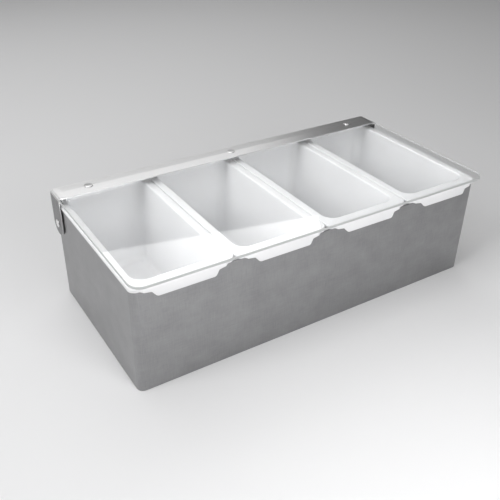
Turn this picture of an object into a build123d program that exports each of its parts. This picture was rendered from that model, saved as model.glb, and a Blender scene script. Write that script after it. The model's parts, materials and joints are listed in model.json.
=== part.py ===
"""Four-compartment condiment dispenser: a folded steel case, four lift-out
tubs hanging in it by their rims, and a clear lid on a riveted steel hinge strip.

Millimetres. Z is up, the front (the pull-tab side) faces -Y, X runs along the
long side, and the origin is the centre of the case's underside, on the table.
"""
import os
from math import radians, tan

from build123d import *

# Overall sizes, from the figures drawn in the photo: 12 x 5.9 x 3.6 inches
OVERALL_H = 91.4
EARS_OUTER_W = 304.0
CASE_D = 141.0
COUNT = 4

# Sheet steel of the case and of the hinge strip
SHEET = 0.8
CORNER_R = 5.0
HEM_DEPTH = 8.0
HEM_GAP = 0.3
HEM_ROUND = 0.8
BASE_FLANGE = 10.0
BASE_BEND = 1.6

# Clearances between pieces that move apart
RIM_CLEAR = 0.3
RIM_GAP = 0.6
EAR_CLEAR = 0.6
LID_AIR = 4.2
FLOOR_AIR = 8.2
RUNNING = 0.05
END_PLAY = 0.1

# Tubs
RIM_T = 2.2
RIM_OVERHANG = 0.8
RIM_FRONT_R = 5.0
RIM_BACK_R = 8.0
RIM_EDGE_R = 0.7
FLANGE_SIDE = 6.2
FLANGE_FRONT = 7.3
FLANGE_BACK = 4.9
TUB_WALL = 1.5
TUB_CORNER_R = 9.0
TUB_DRAFT = 2.0
TUB_FLOOR_R = 5.0
MOUTH_R = 1.2

# Pull tab, one at the front of each tub: insets are from the rim's ends and drops
# from its underside, going from the tails over a short shelf to the foot
TAB_T = 1.4
TAB_REACH = 2.8
TAB_PROUD = 0.3
TAB_LAP = 4.4
TAB_TAIL_SET = 6.0
TAB_SHELF_SET = 7.8
TAB_ROOT_SET = 13.5
TAB_FOOT_SET = 16.6
TAB_FLARE_SET = 12.5
TAB_SHELF_DROP = 0.9
TAB_ROOT_DROP = 1.5
TAB_FOOT_DROP = 5.0
TAB_BEND_R = 2.2
TAB_SWEEP_R = 1.8
TAB_CORNER_R = 3.0

# Lid sheet
LID_T = 2.0
LID_SIDE_SET = 0.4
LID_REACH = 8.1
LID_CORNER_R = 9.0
LID_BEVEL = 0.3
LID_BACK_SET = 1.0
NOTCH_CLEAR_SIDE = 0.2
NOTCH_CLEAR_FRONT = 0.4
NOTCH_R = 1.0
NOTCH_OUT_R = 0.5

# Hinge strip with its two ears
STRIP_W = 18.6
STRIP_CREST = 0.5
STRIP_BEND_R = 1.2
CREST_FADE = 3.0
CREST_STOP = 1.0

# Rivets of the strip
RIVET_INSET = 26.8
SHANK_R = 2.0
SHEET_HOLE_CLEAR = 0.1
HEAD_R = 3.2
HEAD_H = 0.6
TAIL_R = 2.8
TAIL_H = 0.8
BACKING_R = 4.5
BACKING_T = 0.6

# Pivot rivets
PIVOT_DROP = 14.8
PIVOT_INSET = 8.5
PIVOT_HEAD_R = 3.2
PIVOT_HEAD_H = 0.8
SPACER_R = 4.4
SPACER_T = 0.8
BURR_R = 3.6
BURR_T = 0.8
PIVOT_TAIL_R = 2.9
PIVOT_TAIL_H = 1.2

# Levels, from the rivet heads on top down to the tubs' floors
STRIP_TOP = OVERALL_H - HEAD_H - STRIP_CREST
LID_TOP = STRIP_TOP - SHEET
LID_UNDER = LID_TOP - LID_T
RIM_TOP = LID_UNDER - LID_AIR
RIM_UNDER = RIM_TOP - RIM_T
CASE_H = RIM_UNDER - RIM_CLEAR
PIVOT_Z = CASE_H - PIVOT_DROP
TUB_BOTTOM_Z = SHEET + FLOOR_AIR

# Places along X, from the ears inward
EAR_OUTER = EARS_OUTER_W / 2
EAR_INNER = EAR_OUTER - SHEET
CASE_W = 2 * (EAR_INNER - SPACER_T - 2 * END_PLAY)
PITCH = (2 * (EAR_INNER - EAR_CLEAR) + RIM_GAP) / COUNT
RIM_W = PITCH - RIM_GAP
MOUTH_HALF = RIM_W / 2 - FLANGE_SIDE
LID_HALF_W = EAR_OUTER - LID_SIDE_SET
RIVET_X = EAR_OUTER - RIVET_INSET
RIVET_PLACES = {"left": -RIVET_X, "middle": 0.0, "right": RIVET_X}

# Places along Y
RIM_Y = CASE_D / 2 + RIM_OVERHANG
MOUTH_FRONT = -RIM_Y + FLANGE_FRONT
MOUTH_BACK = RIM_Y - FLANGE_BACK
STRIP_Y = CASE_D / 2 - PIVOT_INSET
STRIP_FRONT = STRIP_Y - STRIP_W / 2
STRIP_BACK = STRIP_Y + STRIP_W / 2
LID_FRONT_Y = -CASE_D / 2 - LID_REACH


def rounded_slab(width, depth, radius, z0, z1):
    """Upright rounded box between two levels."""
    outline = Plane.XY.offset(z0) * RectangleRounded(width, depth, radius)
    return extrude(outline, z1 - z0)


def case_ring(out, thick, z0, z1):
    """Band that follows the case's outline, set in by 'out' from its outer face."""
    outer = rounded_slab(CASE_W - 2 * out, CASE_D - 2 * out, CORNER_R - out, z0, z1)
    inner_set = out + thick
    inner = rounded_slab(
        CASE_W - 2 * inner_set, CASE_D - 2 * inner_set, CORNER_R - inner_set, z0 - 1, z1 + 1
    )
    return outer - inner


def x_cylinder(radius, x0, x1, y, z):
    """Round bar along X."""
    disc = Plane.YZ.offset(x0) * Pos(y, z) * Circle(radius)
    return extrude(disc, x1 - x0)


def top_loop(solid, level):
    """Edges that lie at one level."""
    return [e for e in solid.edges() if abs(e.center().Z - level) < 1e-3]


def make_case_wall():
    """Wrap of the case with its top edge folded inward as a hem."""
    hem_t = 2 * SHEET + HEM_GAP
    wall = case_ring(0, SHEET, 0, CASE_H)
    fold = case_ring(0, hem_t, CASE_H - HEM_DEPTH, CASE_H)
    slot = case_ring(SHEET, HEM_GAP, CASE_H - HEM_DEPTH - 1, CASE_H - SHEET)
    wall = wall + fold - slot
    wall = fillet(top_loop(wall, CASE_H), HEM_ROUND)
    for side in (-1, 1):
        x = side * CASE_W / 2
        wall -= x_cylinder(SHANK_R, x - 2 * SHEET, x + 2 * SHEET, STRIP_Y, PIVOT_Z)
    return wall


def make_case_base():
    """Floor pan whose flange stands up inside the wrap and is spot-welded to it."""
    width = CASE_W - 2 * SHEET
    depth = CASE_D - 2 * SHEET
    radius = CORNER_R - SHEET
    pan = rounded_slab(width, depth, radius, 0, BASE_FLANGE)
    pan = fillet(top_loop(pan, 0), BASE_BEND)
    hollow = rounded_slab(
        width - 2 * SHEET, depth - 2 * SHEET, radius - SHEET, SHEET, BASE_FLANGE + 1
    )
    hollow = fillet(top_loop(hollow, SHEET), BASE_BEND - SHEET)
    return pan - hollow


def rim_outline():
    """Plan of a tub's rim, with larger corners at the back than at the front."""
    half = RIM_W / 2
    corners = Polyline((-half, -RIM_Y), (half, -RIM_Y), (half, RIM_Y), (-half, RIM_Y), close=True)
    plan = make_face(corners)
    front = [v for v in plan.vertices() if v.Y < 0]
    plan = fillet(front, RIM_FRONT_R)
    back = [v for v in plan.vertices() if abs(v.Y - RIM_Y) < 1e-3]
    return fillet(back, RIM_BACK_R)


def tub_mouth(grow, z_top, z_bottom):
    """Tapered block with the shape of the tub's inside, grown by a wall thickness."""
    width = 2 * (MOUTH_HALF + grow)
    depth = MOUTH_BACK - MOUTH_FRONT + 2 * grow
    # The draft starts at the rim's top face, so a lower start is a little narrower
    shrink = (RIM_TOP - z_top) * tan(radians(TUB_DRAFT))
    plan = RectangleRounded(
        width - 2 * shrink, depth - 2 * shrink, TUB_CORNER_R + grow - shrink
    )
    middle = (MOUTH_FRONT + MOUTH_BACK) / 2
    sketch = Plane((0, middle, z_top), x_dir=(1, 0, 0), z_dir=(0, 0, -1)) * plan
    return extrude(sketch, z_top - z_bottom, taper=TUB_DRAFT)


def tab_path(shift_in, radius):
    """Outer (or, shifted in, inner) line of the tab's section, and the way its leg runs."""
    root_y = -RIM_Y + TAB_LAP
    bend_y = -RIM_Y - TAB_PROUD
    tip_y = bend_y - TAB_REACH
    tip_z = RIM_UNDER - TAB_FOOT_DROP
    leg = Vector(tip_y - bend_y, tip_z - RIM_TOP).normalized()
    inward = Vector(-leg.Y, leg.X)
    # Both straight stretches move in by the same distance, so the corner slides along
    slide = shift_in / (1 - inward.Y) * inward.X
    return FilletPolyline(
        (root_y, RIM_TOP - shift_in),
        (bend_y + slide, RIM_TOP - shift_in),
        (tip_y + leg.X + shift_in * inward.X, tip_z + leg.Y + shift_in * inward.Y),
        radius=radius,
    )


def make_tab():
    """Pull tab: the rim's front edge turned down and out, with a shelf on each side."""
    outer = tab_path(0, TAB_BEND_R)
    inner = tab_path(TAB_T, TAB_BEND_R - TAB_T)
    ends = [Line(outer @ 1, inner @ 1), Line(inner @ 0, outer @ 0)]
    profile = make_face(Curve() + [outer, inner] + ends)
    tail_half = RIM_W / 2 - TAB_TAIL_SET
    sheet = extrude(Plane.YZ.offset(-tail_half) * profile, 2 * tail_half)

    foot_z = RIM_UNDER - TAB_FOOT_DROP
    half = [
        (tail_half, RIM_TOP + TAB_T),
        (tail_half, RIM_UNDER),
        (RIM_W / 2 - TAB_SHELF_SET, RIM_UNDER - TAB_SHELF_DROP),
        (RIM_W / 2 - TAB_ROOT_SET, RIM_UNDER - TAB_ROOT_DROP),
        (RIM_W / 2 - TAB_FOOT_SET, foot_z),
    ]
    front = make_face(Polyline(*half, *[(-x, z) for x, z in reversed(half)], close=True))
    sweeps = [v for v in front.vertices() if foot_z + 1e-3 < v.Y < RIM_UNDER - 1e-3]
    front = fillet(sweeps, TAB_SWEEP_R)
    feet = [v for v in front.vertices() if abs(v.Y - foot_z) < 1e-3]
    front = fillet(feet, TAB_CORNER_R)
    reach = 2 * (TAB_REACH + TAB_LAP)
    sheet &= extrude(Plane.XZ.offset(RIM_Y - reach / 2) * front, reach)

    # Seen from above, the tails fade into the rim's front edge
    tip_y = -RIM_Y - TAB_PROUD - TAB_REACH - TAB_T
    half = [
        (tail_half, -RIM_Y + TAB_LAP + 1),
        (tail_half, -RIM_Y),
        (RIM_W / 2 - TAB_FLARE_SET, tip_y),
    ]
    plan = make_face(Polyline(*half, *[(-x, y) for x, y in reversed(half)], close=True))
    height = RIM_TOP - foot_z + 2
    return sheet & extrude(Plane.XY.offset(foot_z - 1) * plan, height)


def make_tub():
    """Tapered tub that hangs by its rim, with a pull tab at the front."""
    rim = extrude(Plane.XY.offset(RIM_UNDER) * rim_outline(), RIM_T)
    rim = fillet(top_loop(rim, RIM_TOP), RIM_EDGE_R)
    body = tub_mouth(TUB_WALL, RIM_TOP - RIM_T / 2, TUB_BOTTOM_Z)
    body = fillet(top_loop(body, TUB_BOTTOM_Z), TUB_FLOOR_R + TUB_WALL)
    hollow = tub_mouth(0, RIM_TOP, TUB_BOTTOM_Z + TUB_WALL)
    hollow = fillet(top_loop(hollow, TUB_BOTTOM_Z + TUB_WALL), TUB_FLOOR_R)
    tub = rim + body + make_tab() - hollow
    mouth = [
        e for e in top_loop(tub, RIM_TOP)
        if abs(e.center().X) < MOUTH_HALF + 0.1
        and MOUTH_FRONT - 0.1 < e.center().Y < MOUTH_BACK + 0.1
    ]
    return fillet(mouth, MOUTH_R)


def make_lid_sheet():
    """Flat clear sheet, its back corners cut away to pass between the ears."""
    back_half = EAR_INNER - STRIP_BEND_R - NOTCH_CLEAR_SIDE
    back_y = STRIP_BACK - LID_BACK_SET
    notch_y = STRIP_FRONT - NOTCH_CLEAR_FRONT
    half = [
        (LID_HALF_W, LID_FRONT_Y),
        (LID_HALF_W, notch_y),
        (back_half, notch_y),
        (back_half, back_y),
    ]
    points = half + [(-x, y) for x, y in reversed(half)]
    plan = make_face(Polyline(*points, close=True))
    front = [v for v in plan.vertices() if abs(v.Y - LID_FRONT_Y) < 1e-3]
    plan = fillet(front, LID_CORNER_R)
    inside = [
        v for v in plan.vertices()
        if abs(v.Y - notch_y) < 1e-3 and abs(v.X) < back_half + 1e-3
    ]
    plan = fillet(inside, NOTCH_R)
    outside = [
        v for v in plan.vertices()
        if abs(v.Y - notch_y) < 1e-3 and abs(v.X) > LID_HALF_W - 1e-3
    ]
    plan = fillet(outside, NOTCH_OUT_R)
    sheet = extrude(Plane.XY.offset(LID_UNDER) * plan, LID_T)
    rims = top_loop(sheet, LID_TOP) + top_loop(sheet, LID_UNDER)
    sheet = chamfer(rims, LID_BEVEL)
    hole = Cylinder(SHANK_R + SHEET_HOLE_CLEAR, 2 * LID_T)
    for x in RIVET_PLACES.values():
        sheet -= Pos(x, STRIP_Y, LID_UNDER + LID_T / 2) * hole
    return sheet


def strip_section(x, crest):
    """Cross-section of the strip at x: flat edges with a shallow ridge between them."""
    y0 = STRIP_FRONT
    y1 = STRIP_BACK
    under = LID_TOP
    over = LID_TOP + SHEET
    outline = Polyline(
        (y0, under), (STRIP_Y, under + crest), (y1, under),
        (y1, over), (STRIP_Y, over + crest), (y0, over), close=True,
    )
    return Plane.YZ.offset(x) * make_face(outline)


def make_hinge_strip():
    """Full-length strip with a fold-down ear at each end, holed for its rivets."""
    bend_x = EAR_INNER - STRIP_BEND_R
    bend_z = LID_TOP - STRIP_BEND_R
    fade_x = bend_x - CREST_STOP
    ridge_x = fade_x - CREST_FADE
    strip = extrude(strip_section(-ridge_x, STRIP_CREST), 2 * ridge_x)
    for side in (-1, 1):
        strip += loft([
            strip_section(side * ridge_x, STRIP_CREST),
            strip_section(side * fade_x, 0.0),
        ], ruled=True)
        flat = Box(bend_x - fade_x, STRIP_W, SHEET)
        strip += Pos(side * (fade_x + bend_x) / 2, STRIP_Y, LID_TOP + SHEET / 2) * flat
        bar = Rot(90, 0, 0) * Cylinder(STRIP_BEND_R + SHEET, STRIP_W)
        bore = Rot(90, 0, 0) * Cylinder(STRIP_BEND_R, STRIP_W + 2)
        reach = 2 * (STRIP_BEND_R + SHEET)
        quarter = Box(reach, STRIP_W, reach, align=(Align.MIN, Align.CENTER, Align.MIN))
        if side < 0:
            quarter = Pos(-reach, 0, 0) * quarter
        strip += Pos(side * bend_x, STRIP_Y, bend_z) * ((bar - bore) & quarter)
        x0 = EAR_INNER if side > 0 else -EAR_OUTER
        plate = Box(
            SHEET, STRIP_W, bend_z - PIVOT_Z, align=(Align.MIN, Align.CENTER, Align.MIN)
        )
        strip += Pos(x0, STRIP_Y, PIVOT_Z) * plate
        strip += x_cylinder(STRIP_W / 2, x0, x0 + SHEET, STRIP_Y, PIVOT_Z)
        strip -= x_cylinder(SHANK_R + RUNNING, x0 - 1, x0 + SHEET + 1, STRIP_Y, PIVOT_Z)
    hole = Cylinder(SHANK_R + RUNNING, 2 * (SHEET + STRIP_CREST) + 2)
    for x in RIVET_PLACES.values():
        strip -= Pos(x, STRIP_Y, LID_TOP) * hole
    return strip


def rivet(head_r, head_h, grip, tail_r, tail_h):
    """Domed rivet standing on Z, its head's seat at 0 and its formed tail below."""
    up = (Align.CENTER, Align.CENTER, Align.MIN)
    rise = 0.8 * head_h
    dome_r = (head_r**2 + rise**2) / (2 * rise)
    head = Cylinder(head_r, head_h, align=up) & Pos(0, 0, head_h - dome_r) * Sphere(dome_r)
    shank = Pos(0, 0, -grip) * Cylinder(SHANK_R, grip + head_h / 4, align=up)
    tail = Pos(0, 0, -grip - tail_h) * Cylinder(tail_r, tail_h, align=up)
    tail = chamfer(top_loop(tail, -grip - tail_h), tail_h * 0.5)
    return head + shank + tail


def washer(outer_r, inner_r, thick):
    """Flat ring standing on Z = 0."""
    return extrude(Circle(outer_r) - Circle(inner_r), thick)


def make_lid_rivet():
    """Rivet through strip, sheet and backing washer, seated on the strip's ridge."""
    seat = STRIP_TOP + STRIP_CREST
    grip = seat - LID_UNDER + BACKING_T
    return Pos(0, STRIP_Y, seat) * rivet(HEAD_R, HEAD_H, grip, TAIL_R, TAIL_H)


def make_backing_washer():
    """Washer that spreads the rivet's tail on the underside of the sheet."""
    return Pos(0, STRIP_Y, LID_UNDER - BACKING_T) * washer(BACKING_R, SHANK_R, BACKING_T)


def place_on_side(piece, side, x):
    """Turn a piece made along Z to stand outward from one side of the case."""
    return Pos(side * x, STRIP_Y, PIVOT_Z) * Rot(0, side * 90, 0) * piece


def make_pivot(side):
    """Pivot rivet with its spacer outside the wall and its burr inside it."""
    wall_in = CASE_W / 2 - SHEET
    seat = EAR_OUTER + END_PLAY
    grip = seat - (wall_in - BURR_T)
    pin = rivet(PIVOT_HEAD_R, PIVOT_HEAD_H, grip, PIVOT_TAIL_R, PIVOT_TAIL_H)
    spacer = washer(SPACER_R, SHANK_R, SPACER_T)
    burr = washer(BURR_R, SHANK_R, BURR_T)
    return (
        place_on_side(pin, side, seat),
        place_on_side(spacer, side, CASE_W / 2),
        place_on_side(burr, side, wall_in - BURR_T),
    )


def build_all():
    """Every node of the dispenser, in its rest place with the lid closed."""
    nodes = {
        "case_wall": make_case_wall(),
        "case_base": make_case_base(),
        "lid_sheet": make_lid_sheet(),
        "hinge_strip": make_hinge_strip(),
    }
    tub = make_tub()
    for i in range(COUNT):
        x = (i - (COUNT - 1) / 2) * PITCH
        nodes[f"condiment_tub_{i + 1}"] = Pos(x, 0, 0) * tub
    for name, x in RIVET_PLACES.items():
        nodes[f"lid_rivet_{name}"] = Pos(x, 0, 0) * make_lid_rivet()
        nodes[f"backing_washer_{name}"] = Pos(x, 0, 0) * make_backing_washer()
    for name, side in (("left", -1), ("right", 1)):
        pin, spacer, burr = make_pivot(side)
        nodes[f"pivot_rivet_{name}"] = pin
        nodes[f"pivot_spacer_{name}"] = spacer
        nodes[f"pivot_burr_{name}"] = burr
    return nodes


def main():
    os.makedirs("parts", exist_ok=True)
    for name, shape in build_all().items():
        solids = shape.solids()
        print(name, "solids", len(solids), "volume", round(sum(s.volume for s in solids), 2))
        piece = solids[0] if len(solids) == 1 else shape
        piece.label = name
        export_step(piece, f"parts/{name}.step")


main()
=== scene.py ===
# %% [markdown]
# # A four-tub condiment dispenser
# The object is a folded steel case. Four white tubs hang in it by their rims, and a clear lid swings
# on a steel strip along the back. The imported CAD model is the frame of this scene: it gives the sizes
# and the places. This file adds what makes it look real: brushed steel, satin plastic, a clear sheet
# that bends light, round rivet heads, a floor, soft lights and a camera.
#
# Blender works in metres here, with the front facing -Y and Z up, exactly as the CAD model does.

# %% Load the frame
import json
from math import atan, cos, pi, radians, sin, tan

import bmesh
import bpy
from mathutils import Matrix, Vector


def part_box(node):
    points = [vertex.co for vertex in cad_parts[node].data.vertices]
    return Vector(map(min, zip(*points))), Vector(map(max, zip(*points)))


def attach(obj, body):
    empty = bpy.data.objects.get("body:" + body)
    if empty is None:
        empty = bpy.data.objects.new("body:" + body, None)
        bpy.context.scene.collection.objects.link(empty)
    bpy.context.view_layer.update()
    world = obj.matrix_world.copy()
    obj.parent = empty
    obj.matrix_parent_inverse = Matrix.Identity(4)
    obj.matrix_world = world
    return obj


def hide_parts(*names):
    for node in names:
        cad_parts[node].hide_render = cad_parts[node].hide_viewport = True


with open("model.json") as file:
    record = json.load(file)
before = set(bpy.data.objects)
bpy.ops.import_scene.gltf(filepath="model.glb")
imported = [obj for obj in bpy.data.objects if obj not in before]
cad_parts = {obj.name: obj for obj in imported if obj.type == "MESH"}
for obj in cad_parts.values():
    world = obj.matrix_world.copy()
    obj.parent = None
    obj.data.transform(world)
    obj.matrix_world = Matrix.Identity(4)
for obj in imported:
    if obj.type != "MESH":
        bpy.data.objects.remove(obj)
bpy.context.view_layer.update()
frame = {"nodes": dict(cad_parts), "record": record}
MM = 0.001

# %% [markdown]
# ## Reading sizes off the frame
# A scene that types its own sizes drifts away from the CAD model. So the sizes that several pieces
# share are read once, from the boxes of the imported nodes, and everything below is worked out from them.
# Only the thickness of the sheet steel is typed here, because no box of a folded piece tells it.

# %% Shared sizes
CASE_LOW, CASE_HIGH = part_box("case_wall")
LID_LOW, LID_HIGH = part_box("lid_sheet")
STRIP_LOW, STRIP_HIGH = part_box("hinge_strip")
CASE_HEIGHT = CASE_HIGH.z
SHEET = 0.8
print("case height mm:", round(CASE_HEIGHT / MM, 1), "lid top mm:", round(LID_HIGH.z / MM, 1))


# %% [markdown]
# ## Small helpers for materials
# A procedural material is a graph of nodes. A few short helpers keep the graphs readable. The first three
# make an empty material with its main shader, add a node and set its values, and add a noise whose grain
# can be stretched along an axis. The noise reads Object coordinates, which are metres on the model, so a
# scale of 1000 means about one blotch for each millimetre. Noise seldom leaves the middle of its 0 to 1
# range, so two helpers spread that middle over a range of values or between two colours. The others mix
# two values and add fine relief.

# %% Material helpers
NOISE_LOW, NOISE_HIGH = 0.25, 0.75
TINT_LOW, TINT_HIGH = 0.3, 0.7


def new_material(name):
    """An empty material with its Principled shader."""
    material = bpy.data.materials.new(name)
    material.use_nodes = True
    return material, material.node_tree, material.node_tree.nodes["Principled BSDF"]


def add_node(tree, kind, **values):
    """A new node, with the named sockets or settings set."""
    node = tree.nodes.new(kind)
    for key, value in values.items():
        label = key.replace("_", " ")
        if label in node.inputs:
            node.inputs[label].default_value = value
        else:
            setattr(node, key, value)
    return node


def stretched_noise(tree, per_metre, detail=2.0, roughness=0.5):
    """Noise with its own number of blotches per metre along X, Y and Z."""
    coords = add_node(tree, "ShaderNodeTexCoord")
    mapping = add_node(tree, "ShaderNodeMapping", Scale=per_metre)
    noise = add_node(tree, "ShaderNodeTexNoise", Scale=1.0, Detail=detail, Roughness=roughness)
    tree.links.new(coords.outputs["Object"], mapping.inputs["Vector"])
    tree.links.new(mapping.outputs["Vector"], noise.inputs["Vector"])
    return noise.outputs["Fac"]


def to_range(tree, value, low, high):
    """The middle part of a noise, spread over a new range."""
    node = add_node(
        tree, "ShaderNodeMapRange", From_Min=NOISE_LOW, From_Max=NOISE_HIGH, To_Min=low, To_Max=high
    )
    tree.links.new(value, node.inputs["Value"])
    return node.outputs["Result"]


def blend_values(tree, first, second, share):
    """A weighted mean of two values: share 0 keeps the first, 1 the second."""
    node = add_node(tree, "ShaderNodeMix", data_type="FLOAT")
    node.inputs["Factor"].default_value = share
    tree.links.new(first, node.inputs["A"])
    tree.links.new(second, node.inputs["B"])
    return node.outputs["Result"]


def tint(tree, value, dark, light):
    """A colour between two colours, chosen by the middle part of a noise."""
    ramp = add_node(tree, "ShaderNodeValToRGB")
    ramp.color_ramp.elements[0].position = TINT_LOW
    ramp.color_ramp.elements[0].color = (*dark, 1)
    ramp.color_ramp.elements[1].position = TINT_HIGH
    ramp.color_ramp.elements[1].color = (*light, 1)
    tree.links.new(value, ramp.inputs["Fac"])
    return ramp.outputs["Color"]


def add_bump(tree, shader, height, depth_mm):
    """Fine relief of a given depth."""
    bump = add_node(tree, "ShaderNodeBump", Strength=1.0, Distance=depth_mm * MM)
    tree.links.new(height, bump.inputs["Height"])
    tree.links.new(bump.outputs["Normal"], shader.inputs["Normal"])


# %% [markdown]
# ## Brushed steel
# Brushing draws thousands of hair-fine scratches along the metal. It stays grey and reflective, but each
# scratch scatters light sideways, so reflections smear across the grain. The recipe is a metallic shader
# with three layers of noise: a hair-fine grain, a second set of bands that widens or crosses it, and
# faint cloudy patches left by handling. The first two drive roughness and relief, and all three drive
# colour, so they stay in step as they do on real metal.
#
# One recipe gives four steels. The case is brushed upright with a short grain crossing it, the strip is
# brighter and brushed along its length, its ears get a darker copy whose darkness is painted reflection
# of dark surroundings, and the rivets are rubbed smooth.

# %% Brushed steel
BAND_SHARE = 0.35
CLOUD_SHARE = 0.4
SCRATCH_DEPTH = 0.012


def brushed_steel(name, grain, bands, clouds, dark, light, rough, smear=0.0):
    """Brushed steel; grain, bands and clouds are in blotches per metre along X, Y and Z."""
    material, tree, shader = new_material(name)
    shader.inputs["Metallic"].default_value = 1.0
    shader.inputs["Anisotropic"].default_value = smear
    fine = stretched_noise(tree, grain, detail=3.0, roughness=0.65)
    wide = stretched_noise(tree, bands)
    cloud = stretched_noise(tree, clouds, detail=3.0)
    lines = blend_values(tree, fine, wide, BAND_SHARE)
    tone = blend_values(tree, lines, cloud, CLOUD_SHARE)
    tree.links.new(tint(tree, tone, dark, light), shader.inputs["Base Color"])
    tree.links.new(to_range(tree, lines, *rough), shader.inputs["Roughness"])
    add_bump(tree, shader, lines, SCRATCH_DEPTH)
    return material


def smear_along(material, direction):
    """Smear a steel's reflections along a direction, given as a node's output."""
    shader = material.node_tree.nodes["Principled BSDF"]
    material.node_tree.links.new(direction, shader.inputs["Tangent"])


# %% [markdown]
# ## The four steels
# A scratch runs along the axis with the fewest blotches per metre. On the case that is mostly Z, up the
# wall, and on the strip it is X. Reflections smear the other way: round the case, and across the strip.
# The ears are darker than the strip's top: their steel is a darker copy, a painted dark reflection that
# stands in for the dark surroundings their upright faces mirror.

# %% The four steels
case_steel = brushed_steel(
    "case_steel_brushed", grain=(1700, 1700, 110), bands=(150, 150, 1500), clouds=(60, 60, 75),
    dark=(0.29, 0.29, 0.295), light=(0.395, 0.395, 0.40), rough=(0.28, 0.38), smear=0.5,
)
round_the_case = add_node(case_steel.node_tree, "ShaderNodeTangent", direction_type="RADIAL", axis="Z")
smear_along(case_steel, round_the_case.outputs["Tangent"])
strip_steel = brushed_steel(
    "strip_steel_brushed", grain=(14, 1500, 1500), bands=(5, 260, 260), clouds=(20, 60, 60),
    dark=(0.90, 0.90, 0.90), light=(0.97, 0.97, 0.97), rough=(0.32, 0.42), smear=0.8,
)
across_the_strip = add_node(strip_steel.node_tree, "ShaderNodeCombineXYZ", Y=1.0)
smear_along(strip_steel, across_the_strip.outputs["Vector"])
# The ears' darker colour is painted dark reflection: it stands in for the dark surroundings they mirror.
ear_steel_painted_dark = brushed_steel(
    "ear_steel_brushed", grain=(1500, 1500, 24), bands=(300, 300, 8), clouds=(60, 60, 60),
    dark=(0.17, 0.17, 0.175), light=(0.24, 0.24, 0.245), rough=(0.22, 0.32), smear=0.5,
)
rivet_steel = brushed_steel(
    "rivet_steel_smooth", grain=(700, 700, 700), bands=(300, 300, 300), clouds=(120, 120, 120),
    dark=(0.90, 0.90, 0.90), light=(0.97, 0.97, 0.97), rough=(0.25, 0.33),
)
print("steels:", [steel.name for steel in (case_steel, strip_steel, ear_steel_painted_dark, rivet_steel)])

# %% [markdown]
# ## Satin white plastic
# The tubs are moulded in white plastic with a satin skin. White plastic is never a flat white: light
# enters it a little and comes out nearby, and its skin has a fine texture that softens reflections.
# Subsurface light gives the first, and two small noises give the second. A thin clear coat adds the
# sharper gleam that a polished mould leaves on its plastic.

# %% White plastic
def satin_plastic():
    """White moulded plastic, slightly waxy, with a fine skin."""
    material, tree, shader = new_material("white_plastic_satin")
    skin = stretched_noise(tree, (1800, 1800, 1800))
    flow = stretched_noise(tree, (26, 26, 12))
    tree.links.new(
        tint(tree, flow, (0.86, 0.86, 0.87), (0.90, 0.90, 0.91)), shader.inputs["Base Color"]
    )
    tree.links.new(
        to_range(tree, blend_values(tree, skin, flow, 0.5), 0.30, 0.42), shader.inputs["Roughness"]
    )
    add_bump(tree, shader, skin, 0.006)
    shader.inputs["Subsurface Weight"].default_value = 0.12
    shader.inputs["Subsurface Radius"].default_value = (0.9, 0.95, 1.0)
    shader.inputs["Subsurface Scale"].default_value = 0.003
    shader.inputs["IOR"].default_value = 1.47
    shader.inputs["Coat Weight"].default_value = 0.3
    shader.inputs["Coat Roughness"].default_value = 0.12
    return material


white_plastic = satin_plastic()
print("tub plastic:", white_plastic.name)


# %% [markdown]
# ## A clear sheet
# The lid is a flat sheet of clear plastic with polished edges. A glass shader bends light as the sheet
# does, but a path tracer then finds the lamps only by chance and leaves the tubs dark. The usual cure
# is to let lamp rays pass: a Light Path node swaps the glass for a transparent shader on shadow rays.
# Hairline wipe marks, too faint to see singly, keep its reflections from being perfectly sharp.

# %% Clear plastic
def clear_sheet():
    """Clear plastic that lets lamp light through to what is under it."""
    material, tree, shader = new_material("clear_plastic_polished")
    shader.inputs["Base Color"].default_value = (0.985, 0.99, 0.99, 1)
    shader.inputs["Transmission Weight"].default_value = 1.0
    shader.inputs["IOR"].default_value = 1.49
    shader.inputs["Roughness"].default_value = 0.0
    wipe = stretched_noise(tree, (300, 900, 900))
    add_bump(tree, shader, wipe, 0.002)
    path = add_node(tree, "ShaderNodeLightPath")
    passing = add_node(tree, "ShaderNodeBsdfTransparent")
    passing.inputs["Color"].default_value = (0.96, 0.965, 0.965, 1)
    mix = add_node(tree, "ShaderNodeMixShader")
    tree.links.new(path.outputs["Is Shadow Ray"], mix.inputs["Fac"])
    tree.links.new(shader.outputs["BSDF"], mix.inputs[1])
    tree.links.new(passing.outputs["BSDF"], mix.inputs[2])
    tree.links.new(mix.outputs["Shader"], tree.nodes["Material Output"].inputs["Surface"])
    return material


clear_plastic = clear_sheet()
print("sheet plastic:", clear_plastic.name)

# %% [markdown]
# ## The polished edge of the clear sheet
# Light that enters a clear sheet travels inside it and leaves at the edges, so an edge looks pale and
# a little frosted while the faces nearly vanish. A rougher, slightly milky version of the same plastic
# gives that pale line.

# %% Clear plastic's edge
def clear_edge_band():
    """Edge of the clear sheet, where the light inside it comes out."""
    material, tree, shader = new_material("clear_plastic_edge")
    shader.inputs["Base Color"].default_value = (0.56, 0.57, 0.57, 1)
    shader.inputs["IOR"].default_value = 1.49
    saw = stretched_noise(tree, (900, 900, 900))
    tree.links.new(to_range(tree, saw, 0.26, 0.38), shader.inputs["Roughness"])
    add_bump(tree, shader, saw, 0.01)
    return material


clear_edge = clear_edge_band()
print("edge plastic:", clear_edge.name)

# %% [markdown]
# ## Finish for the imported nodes
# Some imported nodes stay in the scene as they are, such as the base inside the wrap and the washers under
# the sheet. They only need a finish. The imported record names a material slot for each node, so a short
# table from slot to material is enough.

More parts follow.
